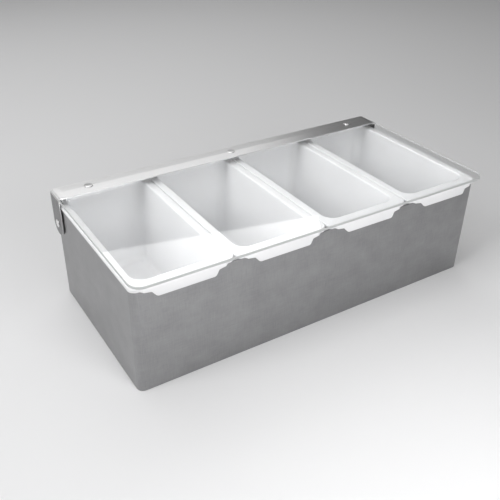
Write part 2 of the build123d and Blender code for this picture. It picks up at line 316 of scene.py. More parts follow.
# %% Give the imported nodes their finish
FINISHES = {
    "case_steel": case_steel,
    "strip_steel": strip_steel,
    "rivet_steel": rivet_steel,
    "white_plastic": white_plastic,
    "clear_plastic": clear_plastic,
}
SLOT_OF = {part["node"]: part["material_slot"] for part in frame["record"]["subparts"]}
for node_name, node in frame["nodes"].items():
    for slot in node.material_slots:
        slot.material = FINISHES[SLOT_OF[node_name]]
print("finished nodes:", len(frame["nodes"]))

# %% [markdown]
# ## Small helpers for meshes
# Three things come back in every piece. Corners of an outline are rounded, so that each piece catches
# light as a formed or moulded one does. A list of points becomes a closed strip of faces. And a bmesh
# becomes an object whose place is in its mesh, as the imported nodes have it. Points are in millimetres
# while a piece is made, because these are the sizes a maker would write down. The last helpers finish a
# piece: they apply its modifiers, even its shading, and say which body it rides on.

# %% Mesh helpers
def round_corners(corners, closed=True, steps=6):
    """Points along an outline of (x, y, radius) corners, with each corner turned into an arc."""
    points = []
    last = len(corners) - 1
    for i, (x, y, radius) in enumerate(corners):
        here = Vector((x, y))
        if radius == 0 or (not closed and i in (0, last)):
            points.append(here)
            continue
        back = (Vector(corners[i - 1][:2]) - here).normalized()
        ahead = (Vector(corners[(i + 1) % len(corners)][:2]) - here).normalized()
        half = back.angle(ahead) / 2
        middle = here + (back + ahead).normalized() * radius / sin(half)
        start = here + back * radius / tan(half) - middle
        end = here + ahead * radius / tan(half) - middle
        sweep = start.angle(end)
        for step in range(steps + 1):
            share = step / steps
            mixed = start * sin((1 - share) * sweep) + end * sin(share * sweep)
            points.append(middle + mixed / sin(sweep))
    return points


def inset_corners(corners, inset):
    """The same outline moved inwards; a corner that turns in grows, one that turns out shrinks."""
    moved = []
    for i, (x, y, radius) in enumerate(corners):
        here = Vector((x, y))
        into = (here - Vector(corners[i - 1][:2])).normalized()
        away = (Vector(corners[(i + 1) % len(corners)][:2]) - here).normalized()
        normals = Vector((-into.y, into.x)), Vector((-away.y, away.x))
        shift = (normals[0] + normals[1]) * inset / (1 + normals[0].dot(normals[1]))
        turns_left = into.x * away.y - into.y * away.x > 0
        new_radius = radius - inset if turns_left else radius + inset
        moved.append((here.x + shift.x, here.y + shift.y, max(new_radius, 0) if radius else 0))
    return moved


def join_rings(bm, rings):
    """Rows of points joined by quads; each row is a closed ring."""
    rows = [[bm.verts.new(point) for point in ring] for ring in rings]
    for low, high in zip(rows, rows[1:]):
        for i in range(len(low)):
            j = (i + 1) % len(low)
            bm.faces.new((low[i], low[j], high[j], high[i]))
    return rows


def to_object(bm, name, sharp_angle):
    """Merge doubles, turn the faces outwards and make a smooth-shaded object in metres."""
    bmesh.ops.remove_doubles(bm, verts=bm.verts, dist=1e-4)
    bmesh.ops.recalc_face_normals(bm, faces=bm.faces)
    bmesh.ops.scale(bm, vec=(MM, MM, MM), verts=bm.verts)
    mesh = bpy.data.meshes.new(name)
    bm.to_mesh(mesh)
    bm.free()
    mesh.shade_smooth()
    mesh.set_sharp_from_angle(angle=radians(sharp_angle))
    piece = bpy.data.objects.new(name, mesh)
    bpy.context.scene.collection.objects.link(piece)
    return piece


def bake(piece):
    """Replace a piece's mesh by what its modifiers make of it, and remove them."""
    graph = bpy.context.evaluated_depsgraph_get()
    baked = bpy.data.meshes.new_from_object(piece.evaluated_get(graph))
    piece.modifiers.clear()
    piece.data = baked
    baked.name = piece.name
    return piece


def even_shading(piece):
    """Let large flat faces keep their flat shading beside small rounded edges."""
    modifier = piece.modifiers.new("even_shading", "WEIGHTED_NORMAL")
    modifier.mode = "FACE_AREA"
    modifier.keep_sharp = True
    return bake(piece)


def place_on(piece, body, slot_name, material, *nodes):
    """Give a finished piece its material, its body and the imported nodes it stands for."""
    piece.data.materials.clear()
    piece.data.materials.append(material)
    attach(piece, body)
    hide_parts(*nodes)
    count = sum(len(face.vertices) - 2 for face in piece.data.polygons)
    print(piece.name, "triangles", count)


# %% [markdown]
# ## The tubs
# Each tub is one moulding: a flat floor with a rounded edge, walls that lean out by two degrees so that
# the moulding leaves its mould, a soft mouth, and a flat rim by which it hangs. It could be carved from a
# box with booleans, but the cuts would leave ragged faces. Here it is built as a potter builds a pot: a
# stack of rings, each a rounded rectangle, from the inside floor up over the rim and down the outside.

# %% Sizes of a tub, in mm
TUB_LOW, TUB_HIGH = (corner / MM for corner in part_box("condiment_tub_1"))
RIM_HALF = (TUB_HIGH.x - TUB_LOW.x) / 2
RIM_TOP = TUB_HIGH.z
RIM_THICK = 2.2
RIM_UNDER = RIM_TOP - RIM_THICK
RIM_REACH = TUB_HIGH.y
RIM_SIDE, RIM_FRONT, RIM_BACK = 6.2, 7.3, 4.9
RIM_FRONT_RADIUS, RIM_BACK_RADIUS = 5.0, 8.0
WALL = 1.5
LEAN = radians(2)
DRAFT = tan(LEAN)
WALL_TURN = pi / 2 - LEAN
MOUTH_HALF = RIM_HALF - RIM_SIDE
MOUTH_FRONT, MOUTH_BACK = RIM_FRONT - RIM_REACH, RIM_REACH - RIM_BACK
MOUTH_CORNER = 9.0
MOUTH_ROUND = 1.2
FLOOR_ROUND = 5.0
TUB_FLOOR = TUB_LOW.z + WALL

# How many straight steps stand for a corner's arc, the floor's arc, the leaning wall and the mouth's arc.
ARC_STEPS, FLOOR_STEPS, WALL_STEPS, MOUTH_STEPS = 8, 6, 4, 5
print("rim mm:", round(2 * RIM_HALF, 2), "x", round(2 * RIM_REACH, 2), "top at", round(RIM_TOP, 2))

# %% [markdown]
# ## The pull tab
# In the middle of each rim's front, the edge turns down and out into a tab for the fingers. Its outline
# has a shelf at each side, a swept shoulder and a rounded foot. Since the rings run all the way round, the
# tab needs no separate part: at the front, the rings that make the rim's edge are pulled into the tab's
# bend, its leg and its foot, and towards the tails they ease back into the plain edge.

# %% Outline and section of the tab
TAB_THICK = 1.4
TAB_LEG, TAB_OUT = 5.0, 2.8
TAB_LEAN = TAB_OUT / (RIM_THICK + TAB_LEG)
TAB_BEND = 2.2
TAB_PROUD = 0.3
TAB_FRONT = RIM_REACH + TAB_PROUD
FOOT_END, SHELF_START, SHELF_END = RIM_HALF - 16.6, RIM_HALF - 13.5, RIM_HALF - 7.8
FOOT_ROUND = 0.45
TAIL_HALF = RIM_HALF - 6.0
TAIL_EASE = 2.6
EDGE_START = 1.2
EDGE_SOFT, EDGE_CRISP = 0.7, 0.3

# The plain edge and the tab's section have EDGE_STEPS points each, so that one can ease into the other.
# The other two numbers are the straight steps that stand for the edge's soft top and for the tab's bend.
EDGE_STEPS = 13
SOFT_EDGE_STEPS, TAB_BEND_STEPS = 4, 5

# Where the middle of a small round edge lies, as a share of its radius.
ARC_MIDDLE = 0.3

# Each corner is (distance from the tub's middle, drop below the rim, corner radius).
TAB_SHAPE = round_corners([
    (0, TAB_LEG, 0),
    (FOOT_END, TAB_LEG, 3.0),
    (SHELF_START, 1.5, 1.8),
    (SHELF_END, 0.9, 1.8),
    (TAIL_HALF, 0, 0),
], closed=False)
print("points along half a tab:", len(TAB_SHAPE))


def plain_edge():
    """The rim's edge as (inset, height) steps: a soft top edge, the side, a crisp bottom edge."""
    steps = [(EDGE_START, RIM_TOP)]
    for k in range(SOFT_EDGE_STEPS + 1):
        angle = pi / 2 * k / SOFT_EDGE_STEPS
        steps.append((EDGE_SOFT * (1 - sin(angle)), RIM_TOP - EDGE_SOFT * (1 - cos(angle))))
    middle = ARC_MIDDLE * EDGE_CRISP
    steps += [(0, RIM_UNDER + EDGE_CRISP), (middle, RIM_UNDER + middle)]
    return steps + [(EDGE_CRISP, RIM_UNDER)] * (EDGE_STEPS - len(steps))


def tab_edge(drop):
    """The tab's section, cut off at a drop: (distance in from its bend's corner, height) steps."""
    lean = pi / 2 - atan(TAB_LEAN)
    reach = TAB_BEND * tan(lean / 2)
    steps = []
    for k in range(TAB_BEND_STEPS + 1):
        angle = lean * k / TAB_BEND_STEPS
        steps.append((reach - TAB_BEND * sin(angle), RIM_TOP - TAB_BEND * (1 - cos(angle))))
    foot = RIM_UNDER - drop

    def outer(height):
        """Distance in of the tab's outer face at a height; it is negative, because the tab leans out."""
        return -TAB_LEAN * (RIM_TOP - height)

    through = TAB_THICK / sin(lean)
    corner = ARC_MIDDLE * FOOT_ROUND
    high = min(foot + FOOT_ROUND, RIM_UNDER)
    steps += [
        (outer(foot + FOOT_ROUND), foot + FOOT_ROUND),
        (outer(foot + corner) + corner, foot + corner),
        (outer(foot) + FOOT_ROUND, foot),
        (outer(foot) + through - FOOT_ROUND, foot),
        (outer(foot + corner) + through - corner, min(foot + corner, RIM_UNDER)),
        (outer(high) + through, high),
        (outer(RIM_UNDER) + through, RIM_UNDER),
    ]
    return steps


# %% [markdown]
# ## Rings of a tub
# Every ring has the same number of points, so that each can be joined to the next by quads. The front of
# each ring has the tab's points in it, also where there is no tab, and the edge's rings are moved there
# from the plain edge to the tab's section. An easing curve lets the tab fade into the rim at its tails.

# %% Rings of a tub
def rounded_ring(half, front, back, r_front, r_back, front_shares):
    """Rounded rectangle, counter-clockwise from above, with extra points along its front."""
    corners = (
        (half - r_back, back - r_back, r_back),
        (r_back - half, back - r_back, r_back),
        (r_front - half, front + r_front, r_front),
        (half - r_front, front + r_front, r_front),
    )
    points = []
    for turn, (x, y, radius) in enumerate(corners):
        if turn == len(corners) - 1:
            points += [(share * (half - r_front), front) for share in front_shares]
        for step in range(ARC_STEPS + 1):
            angle = pi / 2 * (turn + step / ARC_STEPS)
            points.append((x + radius * cos(angle), y + radius * sin(angle)))
    return points


def tub_rings():
    """Rings from the inside floor over the rim to the outside floor, for a tub at x = 0."""
    straight = RIM_HALF - RIM_FRONT_RADIUS
    tab_points = [(-x, drop) for x, drop in reversed(TAB_SHAPE[1:])] + list(TAB_SHAPE)
    shares = [x / straight for x, _ in tab_points]

    def body_ring(half, height):
        """One ring of the walls; all of them have the mouth's shape, grown or shrunk."""
        grow = half - MOUTH_HALF
        ring = rounded_ring(
            half, MOUTH_FRONT - grow, MOUTH_BACK + grow, MOUTH_CORNER + grow, MOUTH_CORNER + grow, shares
        )
        return [(x, y, height) for x, y in ring]

    def wall_rings(thick, radius, floor, top, order):
        """Rings of the rounded floor edge and the leaning wall above it."""
        middle = floor + radius
        tangent = MOUTH_HALF + thick - (RIM_TOP - middle) * DRAFT - radius / cos(LEAN)
        steps = []
        for k in range(FLOOR_STEPS + 1):
            angle = WALL_TURN * k / FLOOR_STEPS
            steps.append((tangent + radius * sin(angle), middle - radius * cos(angle)))
        for k in range(1, WALL_STEPS + 1):
            height = middle + (top - middle) * k / WALL_STEPS
            steps.append((MOUTH_HALF + thick - (RIM_TOP - height) * DRAFT, height))
        return [body_ring(*step) for step in steps[::order]]

    inside = wall_rings(0, FLOOR_ROUND, TUB_FLOOR, RIM_TOP - MOUTH_ROUND, 1)
    lip = MOUTH_HALF + MOUTH_ROUND * (1 / cos(LEAN) - DRAFT)
    mouth = []
    for k in range(1, MOUTH_STEPS + 1):
        angle = pi - LEAN - WALL_TURN * k / MOUTH_STEPS
        mouth.append(body_ring(
            lip + MOUTH_ROUND * cos(angle), RIM_TOP - MOUTH_ROUND * (1 - sin(angle))
        ))
    edge = []
    arcs_before_front = 3
    front_start = arcs_before_front * (ARC_STEPS + 1)
    tab_steps = [tab_edge(drop) for _, drop in tab_points]
    for k, (inset, height) in enumerate(plain_edge()):
        ring = [(x, y, height) for x, y in rounded_ring(
            RIM_HALF - inset, inset - RIM_REACH, RIM_REACH - inset,
            RIM_FRONT_RADIUS - inset, RIM_BACK_RADIUS - inset, shares,
        )]
        for i, (x, _) in enumerate(tab_points):
            ease = min(max((TAIL_HALF - abs(x)) / TAIL_EASE, 0), 1)
            ease = ease * ease * (3 - 2 * ease)
            tab_inset, tab_height = tab_steps[i][k]
            plain = Vector((x, inset - RIM_REACH, height))
            ring[front_start + i] = plain.lerp(Vector((x, tab_inset - TAB_FRONT, tab_height)), ease)
        edge.append(ring)
    outside = wall_rings(WALL, FLOOR_ROUND + WALL, TUB_LOW.z, RIM_UNDER, -1)
    return inside + mouth + edge + outside


def make_tub(name, middle_x):
    """One tub, moved along X to its place."""
    bm = bmesh.new()
    rows = join_rings(bm, tub_rings())
    bm.faces.new(rows[0])
    bm.faces.new(rows[-1])
    bmesh.ops.translate(bm, vec=(middle_x, 0, 0), verts=bm.verts)
    return even_shading(to_object(bm, name, sharp_angle=60))


for number in (1, 2, 3, 4):
    node_name = f"condiment_tub_{number}"
    low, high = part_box(node_name)
    tub = make_tub(f"tub_moulding_{number}", (low.x + high.x) / 2 / MM)
    place_on(tub, f"tub_{number}", "white_plastic", white_plastic, node_name)


# %% [markdown]
# ## The lid's sheet
# The lid is one flat sheet with polished, slightly bevelled edges. Its front corners are round, and its
# back corners are cut away so that it passes between the hinge strip's ears. A clear sheet shows its
# own edges more than its faces, because light that entered the sheet comes out there. So the edge band
# gets a material of its own. The outline is written as corners with radii, and stacked at four heights.
# The cut-away corners stay clear of the strip's bends, so the bend's radius is needed here already. It is
# a little larger than in the CAD model, because the photograph shows a soft shoulder there.

# %% Lid sheet
LID_BEVEL = 0.3
LID_FRONT_RADIUS = 9.0
STRIP_FRONT = STRIP_LOW.y / MM
STRIP_MIDDLE = (STRIP_LOW.y + STRIP_HIGH.y) / 2 / MM
EAR_INSIDE = STRIP_HIGH.x / MM - SHEET
BEND_RADIUS = 2.0
NOTCH_CLEAR_SIDE, NOTCH_CLEAR_FRONT = 0.2, 0.4
NOTCH_ROUND, NOTCH_OUT_ROUND = 1.0, 0.5
RIVET_INSET = 26.8
RIVET_SPAN = STRIP_HIGH.x / MM - RIVET_INSET
HOLE_RADIUS = 2.1
HOLE_POINTS = 32


def lid_corners():
    """Corners of the lid's outline with their radii, counter-clockwise from above."""
    half, front, back = LID_HIGH.x / MM, LID_LOW.y / MM, LID_HIGH.y / MM
    narrow = EAR_INSIDE - BEND_RADIUS - NOTCH_CLEAR_SIDE
    notch = STRIP_FRONT - NOTCH_CLEAR_FRONT
    right = [
        (half, front, LID_FRONT_RADIUS),
        (half, notch, NOTCH_OUT_ROUND),
        (narrow, notch, NOTCH_ROUND),
        (narrow, back, 0),
    ]
    return right + [(-x, y, radius) for x, y, radius in reversed(right)]


def make_lid():
    """Clear sheet with three rivet holes."""
    bm = bmesh.new()
    low, high = LID_LOW.z / MM, LID_HIGH.z / MM
    levels = [(LID_BEVEL, low), (0, low + LID_BEVEL), (0, high - LID_BEVEL), (LID_BEVEL, high)]
    rings = []
    for inset, height in levels:
        outline = round_corners(inset_corners(lid_corners(), inset), steps=10)
        rings.append([(x, y, height) for x, y in outline])
    rows = join_rings(bm, rings)
    ends = {low: [rows[0]], high: [rows[-1]]}
    turns = [2 * pi * k / HOLE_POINTS for k in range(HOLE_POINTS)]
    for x in (-RIVET_SPAN, 0, RIVET_SPAN):
        circle = [(x + HOLE_RADIUS * cos(a), STRIP_MIDDLE + HOLE_RADIUS * sin(a)) for a in turns]
        bore = join_rings(bm, [[(a, b, height) for a, b in circle] for height in (low, high)])
        ends[low].append(bore[0])
        ends[high].append(bore[1])
    for loops in ends.values():
        edges = [bm.edges.get((loop[i - 1], loop[i])) for loop in loops for i in range(len(loop))]
        bmesh.ops.triangle_fill(bm, use_beauty=True, edges=edges)
    return to_object(bm, "lid_clear_sheet", sharp_angle=25)


lid = make_lid()
place_on(lid, "lid", "clear_plastic", clear_plastic, "lid_sheet")
lid.data.materials.append(clear_edge)
LEVEL_ENOUGH = 0.9
edge_faces = [face for face in lid.data.polygons if abs(face.normal.z) < LEVEL_ENOUGH]
for face in edge_faces:
    face.material_index = 1
print("lid edge faces", len(edge_faces))

# %% [markdown]
# ## The hinge strip
# One long strip of steel holds the lid. It has a faint ridge pressed along its middle, which stiffens it,
# and its ends are bent down into ears that turn on the pivots. It is modelled as sheet metal is drawn: a
# thin surface laid along a path, up one ear, across, and down the other, then given its thickness. A
# small bevel makes its cut edges catch light. The ears' flat faces get their darker steel, whose darker
# colour is painted dark reflection, and the cut edges the smooth steel of the rivets, chosen by the way
# each face looks.

# %% Hinge strip
STRIP_HALF_WIDTH = (STRIP_HIGH.y - STRIP_LOW.y) / 2 / MM
STRIP_LEVEL = LID_HIGH.z / MM + SHEET / 2
STRIP_BEVEL = 0.25
EAR_MIDDLE = STRIP_HIGH.x / MM - SHEET / 2
PIVOT_HEIGHT = STRIP_LOW.z / MM + STRIP_HALF_WIDTH
MIDDLE_BEND = BEND_RADIUS + SHEET / 2
BEND_START = EAR_MIDDLE - MIDDLE_BEND
BEND_STEPS, EAR_STEPS, FADE_STEPS = 8, 16, 4
RIDGE = 0.5
RIDGE_SOFT = 0.04
RIDGE_FADE = 3.0
RIDGE_END = BEND_START - 1.0
ALONG = (0, 40, 80, 110, 135)
ACROSS = (-1, -0.75, -0.5, -0.25, -0.1, -0.04, 0, 0.04, 0.1, 0.25, 0.5, 0.75, 1)
CREASE = radians(50)


def strip_path():
    """(x, height, half width) along the right half of the strip, from its middle to its ear's end."""
    fading = tuple(RIDGE_END - RIDGE_FADE * k / FADE_STEPS for k in range(FADE_STEPS, -1, -1))
    stations = ALONG + fading
    steps = [(x, STRIP_LEVEL, STRIP_HALF_WIDTH) for x in stations]
    for k in range(BEND_STEPS + 1):
        angle = pi / 2 * k / BEND_STEPS
        x = BEND_START + MIDDLE_BEND * sin(angle)
        steps.append((x, STRIP_LEVEL - MIDDLE_BEND * (1 - cos(angle)), STRIP_HALF_WIDTH))
    for k in range(1, EAR_STEPS + 1):
        angle = pi / 2 * k / EAR_STEPS
        half = max(STRIP_HALF_WIDTH * cos(angle), 0)
        steps.append((EAR_MIDDLE, PIVOT_HEIGHT - STRIP_HALF_WIDTH * sin(angle), half))
    return steps


def make_strip():
    """Sheet-metal strip with a soft ridge and two ears with round ends."""
    right = strip_path()
    path = [(-x, z, w) for x, z, w in reversed(right[1:])] + right
    bm = bmesh.new()
    rows = []
    for x, height, half in path:
        fade = min(max((RIDGE_END - abs(x)) / RIDGE_FADE, 0), 1)
        row = []
        for share in ACROSS:
            soft = (share * share + RIDGE_SOFT * RIDGE_SOFT) ** 0.5
            lift = RIDGE * fade * max(1 - soft, 0)
            row.append(bm.verts.new((x, STRIP_MIDDLE + share * half, height + lift)))
        rows.append(row)
    for low, high in zip(rows, rows[1:]):
        for i in range(len(ACROSS) - 1):
            bm.faces.new((low[i], high[i], high[i + 1], low[i + 1]))
    bmesh.ops.remove_doubles(bm, verts=bm.verts, dist=1e-3)
    strip = to_object(bm, "hinge_strip_sheet", sharp_angle=60)
    thick = strip.modifiers.new("thickness", "SOLIDIFY")
    thick.thickness = SHEET * MM
    thick.offset = 0
    thick.use_even_offset = True
    bevel = strip.modifiers.new("soft_edges", "BEVEL")
    bevel.width = STRIP_BEVEL * MM
    bevel.segments = 3
    bevel.limit_method = "ANGLE"
    bevel.angle_limit = CREASE
    bake(strip)
    strip.data.set_sharp_from_angle(angle=CREASE)
    return even_shading(strip)


strip = make_strip()
place_on(strip, "lid", "strip_steel", strip_steel, "hinge_strip")
strip.data.materials.append(ear_steel_painted_dark)
strip.data.materials.append(rivet_steel)
# Faces turned sideways are the ears' flat faces; they get the darker steel, a painted dark reflection.
FACES_SIDEWAYS, FACES_ACROSS = 0.97, 0.3
for face in strip.data.polygons:
    if abs(face.normal.x) > FACES_SIDEWAYS:
        face.material_index = 1
    elif abs(face.normal.y) > FACES_ACROSS:
        face.material_index = 2
print("ear faces", sum(face.material_index == 1 for face in strip.data.polygons))

# %% [markdown]
# ## The case's wrap, by Geometry Nodes
# The wrap is one sheet folded round four corners, with its top edge turned in as a hem, so that nobody is
# cut by it. Its shape follows a rule: one section carried round one outline. That is what the Curve to
# Mesh node does. The tree has the outline's sizes as named inputs, rounds its corners with Fillet Curve,
# and carries the section along. Change the corner radius and the whole wrap follows.

# %% Helpers for node trees
def new_tree(name, inputs):
    """A geometry tree with named inputs: (name, socket type) pairs."""
    tree = bpy.data.node_groups.new(name, "GeometryNodeTree")
    tree.interface.new_socket("Geometry", in_out="INPUT", socket_type="NodeSocketGeometry")
    for label, kind in inputs:
        tree.interface.new_socket(label, in_out="INPUT", socket_type=kind)
    tree.interface.new_socket("Geometry", in_out="OUTPUT", socket_type="NodeSocketGeometry")
    return tree, tree.nodes.new("NodeGroupInput"), tree.nodes.new("NodeGroupOutput")


def run_tree(name, tree, **values):
    """An object made by a tree with its inputs set by name, then turned into a plain mesh."""
    piece = bpy.data.objects.new(name, bpy.data.meshes.new(name))
    bpy.context.scene.collection.objects.link(piece)
    modifier = piece.modifiers.new(tree.name, "NODES")
    modifier.node_group = tree
    for socket in tree.interface.items_tree:
        label = socket.name.replace(" ", "_").lower()
        if socket.in_out == "INPUT" and label in values:
            modifier[socket.identifier] = values[label]
    return bake(piece)


def section_curve(name, points):
    """A closed section as a curve, in metres; it is deleted once a tree has used it."""
    data = bpy.data.curves.new(name, "CURVE")
    data.dimensions = "3D"
    spline = data.splines.new("POLY")
    spline.points.add(len(points) - 1)
    for point, (x, y) in zip(spline.points, points):
        point.co = (x * MM, y * MM, 0, 1)
    spline.use_cyclic_u = True
    curve = bpy.data.objects.new(name, data)
    bpy.context.scene.collection.objects.link(curve)
    return curve


# %% [markdown]
# ## The wrap's tree
# The tree is a short chain: a rectangle, its corners rounded, the section carried along it, and at the
# end Realize Instances and Set Material, because only real faces can be exported. The section comes in
# as an object, since a curve drawn through points reads more easily than one built of nodes.

# %% The wrap's tree
def wrap_tree():
    """Carries a section round a rectangle with rounded corners."""
    tree, given, result = new_tree("wrap_round_outline", [
        ("Section", "NodeSocketObject"), ("Width", "NodeSocketFloat"), ("Depth", "NodeSocketFloat"),
        ("Corner Radius", "NodeSocketFloat"), ("Corner Steps", "NodeSocketInt"),
        ("Material", "NodeSocketMaterial"),
    ])
    outline = add_node(tree, "GeometryNodeCurvePrimitiveQuadrilateral")
    corners = add_node(tree, "GeometryNodeFilletCurve")
    corners.mode = "POLY"
    section = add_node(tree, "GeometryNodeObjectInfo")
    carry = add_node(tree, "GeometryNodeCurveToMesh")
    realize = add_node(tree, "GeometryNodeRealizeInstances")
    paint = add_node(tree, "GeometryNodeSetMaterial")
    link = tree.links.new
    link(given.outputs["Width"], outline.inputs["Width"])
    link(given.outputs["Depth"], outline.inputs["Height"])
    link(outline.outputs["Curve"], corners.inputs["Curve"])
    link(given.outputs["Corner Radius"], corners.inputs["Radius"])
    link(given.outputs["Corner Steps"], corners.inputs["Count"])
    link(given.outputs["Section"], section.inputs["Object"])
    link(corners.outputs["Curve"], carry.inputs["Curve"])
    link(section.outputs["Geometry"], carry.inputs["Profile Curve"])
    link(carry.outputs["Mesh"], realize.inputs["Geometry"])
    link(realize.outputs["Geometry"], paint.inputs["Geometry"])
    link(given.outputs["Material"], paint.inputs["Material"])
    link(paint.outputs["Geometry"], result.inputs["Geometry"])
    return tree


# %% [markdown]
# ## The wrap's section
# The section is closed. It runs up the wall's outside, over the fold, down the hem, up again in the
# narrow gap behind the hem, and down the wall's inside. The curve that holds it is deleted once the tree
# has used it.

# %% Case wrap
CASE_CORNER = 5.0
CORNER_STEPS = 10
FOLD_STEPS = 6
HEM_DEPTH = 8.0
HEM_GAP = 0.3


def wrap_section():
    """Section of the wrap: (height, distance in) steps, up the outside and down the folded hem."""
    top = CASE_HIGH.z / MM
    full = 2 * SHEET + HEM_GAP
    turns = [pi / 2 * k / FOLD_STEPS for k in range(FOLD_STEPS + 1)]
    fold = [(top - SHEET * (1 - sin(turn)), SHEET * (1 - cos(turn))) for turn in turns]
    back = [(height, full - inward) for height, inward in reversed(fold)]
    inside = [
        (top - HEM_DEPTH, full), (top - HEM_DEPTH, SHEET + HEM_GAP), (top - SHEET, SHEET + HEM_GAP),
        (top - SHEET, SHEET), (0, SHEET),
    ]
    return [(0, 0)] + fold + back + inside


section = section_curve("wrap_section", [(-inward, -height) for height, inward in wrap_section()])
wrap = run_tree(
    "case_wrap", wrap_tree(), section=section, width=CASE_HIGH.x - CASE_LOW.x,
    depth=CASE_HIGH.y - CASE_LOW.y, corner_radius=CASE_CORNER * MM, corner_steps=CORNER_STEPS,
    material=case_steel,
)
bpy.data.objects.remove(section)
print("wrap box mm", [round(v / MM, 2) for v in wrap.dimensions])

# %% [markdown]
# ## Tidying what a tree has made
# A mesh made by carrying a section round may have doubled points where it closes on itself, and faces
# that point inwards. Both are put right once it is a plain mesh, and its shading is evened.

# %% Tidy the wrap's surface
def tidy_surface(piece, sharp_angle):
    """Merge doubles, turn faces outwards, and shade the surface smoothly."""
    bm = bmesh.new()
    bm.from_mesh(piece.data)
    bmesh.ops.remove_doubles(bm, verts=bm.verts, dist=1e-7)
    bmesh.ops.recalc_face_normals(bm, faces=bm.faces)
    bm.to_mesh(piece.data)
    bm.free()
    piece.data.shade_smooth()
    piece.data.set_sharp_from_angle(angle=radians(sharp_angle))
    return even_shading(piece)


tidy_surface(wrap, sharp_angle=60)
place_on(wrap, "case", "case_steel", case_steel, "case_wall")

# %% [markdown]
# ## The rivets, by Geometry Nodes
# Three rivets hold the strip to the sheet, and two more are the pivots. They are all alike: a low domed
# head, a shank, and a tail that was hammered flat. One section is turned about its axis, by carrying it
# round a circle too small to see. The tree then sets a copy at each point of a short row. An input says
# whether the rivets stand up, as those on the strip do, or lean outwards, as the pivots do.

# %% Rivet tree
RIVET_SIDES = 48
TINY_CIRCLE = 1e-7


def rivet_tree():
    """Turns a section about its axis and sets it at the points of a row along X."""
    tree, given, result = new_tree("rivets_in_a_row", [
        ("Section", "NodeSocketObject"), ("Count", "NodeSocketInt"), ("Half Span", "NodeSocketFloat"),
        ("Middle", "NodeSocketVector"), ("Outward", "NodeSocketBool"), ("Material", "NodeSocketMaterial"),
    ])
    link = tree.links.new
    axis = add_node(tree, "GeometryNodeCurvePrimitiveCircle", Resolution=RIVET_SIDES, Radius=TINY_CIRCLE)
    section = add_node(tree, "GeometryNodeObjectInfo")
    turned = add_node(tree, "GeometryNodeCurveToMesh")
    link(given.outputs["Section"], section.inputs["Object"])
    link(axis.outputs["Curve"], turned.inputs["Curve"])
    link(section.outputs["Geometry"], turned.inputs["Profile Curve"])

    reverse = add_node(tree, "ShaderNodeMath", operation="MULTIPLY")
    reverse.inputs[1].default_value = -1.0
    start = add_node(tree, "ShaderNodeCombineXYZ")
    end = add_node(tree, "ShaderNodeCombineXYZ")
    row = add_node(tree, "GeometryNodeMeshLine", mode="END_POINTS")
    link(given.outputs["Half Span"], reverse.inputs[0])
    link(reverse.outputs["Value"], start.inputs["X"])
    link(given.outputs["Half Span"], end.inputs["X"])
    link(given.outputs["Count"], row.inputs["Count"])
    link(start.outputs["Vector"], row.inputs["Start Location"])
    link(end.outputs["Vector"], row.inputs["Offset"])

    place = add_node(tree, "GeometryNodeInputPosition")
    lean = add_node(tree, "GeometryNodeSwitch", input_type="VECTOR")
    lean.inputs["False"].default_value = (0, 0, 1)
    stand = add_node(tree, "FunctionNodeAlignRotationToVector", axis="Z")
    link(given.outputs["Outward"], lean.inputs["Switch"])
    link(place.outputs["Position"], lean.inputs["True"])
    link(lean.outputs["Output"], stand.inputs["Vector"])

    copies = add_node(tree, "GeometryNodeInstanceOnPoints")
    move = add_node(tree, "GeometryNodeTransform")
    realize = add_node(tree, "GeometryNodeRealizeInstances")
    paint = add_node(tree, "GeometryNodeSetMaterial")
    link(row.outputs["Mesh"], copies.inputs["Points"])
    link(turned.outputs["Mesh"], copies.inputs["Instance"])
    link(stand.outputs["Rotation"], copies.inputs["Rotation"])
    link(copies.outputs["Instances"], move.inputs["Geometry"])
    link(given.outputs["Middle"], move.inputs["Translation"])
    link(move.outputs["Geometry"], realize.inputs["Geometry"])
    link(realize.outputs["Geometry"], paint.inputs["Geometry"])
    link(given.outputs["Material"], paint.inputs["Material"])
    link(paint.outputs["Geometry"], result.inputs["Geometry"])
    return tree


rivets_in_a_row = rivet_tree()
print("nodes in the rivets' tree:", len(rivets_in_a_row.nodes))

# %% [markdown]
# ## A rivet's section
# Half a section is enough, drawn from the middle of the head down to the middle of the tail. The head is
# a very low dome with a rounded rim. The grip is what the rivet holds together: the strip, the sheet and
# a washer for the three on the lid, and everything from an ear to the burr inside the wall for a pivot.

# %% A rivet's section
HEAD_RADIUS = 3.2
HEAD_ROUND = 0.7
HEAD_SILL = 0.1
HEAD_UNDERCUT = 0.04
DOME_SHARE = 0.15
SHANK_RADIUS = 2.0
TAIL_BEVEL = 0.1
DOME_STEPS, HEAD_ROUND_STEPS = 8, 5


def rivet_section(head_height, grip, tail_radius, tail_height):
    """Half section of a rivet: (distance from the axis, height), with the head's seat at height 0."""
    rise = DOME_SHARE * head_height
    crown = HEAD_RADIUS - HEAD_ROUND
    dome = (crown**2 + rise**2) / (2 * rise)
    points = [(0, head_height)]
    for k in range(1, DOME_STEPS + 1):
        across = crown * k / DOME_STEPS
        points.append((across, head_height - dome + (dome * dome - across * across) ** 0.5))
    side = head_height - rise - HEAD_SILL
    for k in range(1, HEAD_ROUND_STEPS + 1):
        angle = pi / 2 * k / HEAD_ROUND_STEPS
        points.append((crown + HEAD_ROUND * sin(angle), HEAD_SILL + side * cos(angle)))
    slope = tail_height / 2
    bottom = -grip - tail_height
    return points + [
        (HEAD_RADIUS - HEAD_UNDERCUT, 0),
        (SHANK_RADIUS, 0),
        (SHANK_RADIUS, -grip),
        (tail_radius - TAIL_BEVEL, -grip),
        (tail_radius, -grip - TAIL_BEVEL),
        (tail_radius, bottom + slope),
        (tail_radius - slope, bottom),
        (0, bottom),
    ]


print("rivet head mm across:", 2 * HEAD_RADIUS)

